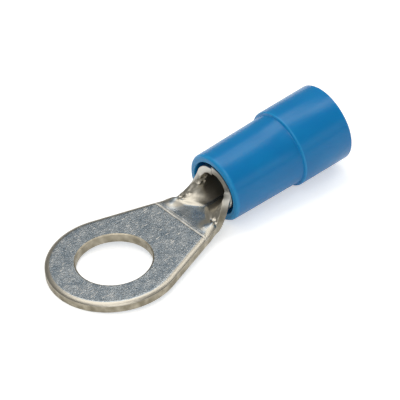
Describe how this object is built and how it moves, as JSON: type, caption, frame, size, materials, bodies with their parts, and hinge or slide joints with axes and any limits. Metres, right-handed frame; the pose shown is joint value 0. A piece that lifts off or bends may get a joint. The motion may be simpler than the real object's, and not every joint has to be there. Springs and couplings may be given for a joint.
{
  "type": "insulated ring terminal",
  "caption": "Insulated ring terminal: flat ring tongue for a stud, rolled wire barrel and a stepped plastic sleeve over the barrel.",
  "frame": {"origin": "centre of the stud hole on the underside of the flat tongue", "axes": "+Z along the stud, out of the tongue's top face; +X along the terminal to the wire's entry; +Y across"},
  "size_m": [0.0288, 0.0112, 0.0068],
  "materials": {
    "tinned_copper": "dull tin plating over stamped copper, with fine scratches",
    "blue_plastic": "smooth moulded plastic, soft shine, slightly translucent"
  },
  "bodies": {
    "root": {"terminal": "tinned_copper", "insulation_sleeve": "blue_plastic"}
  },
  "joints": []
}
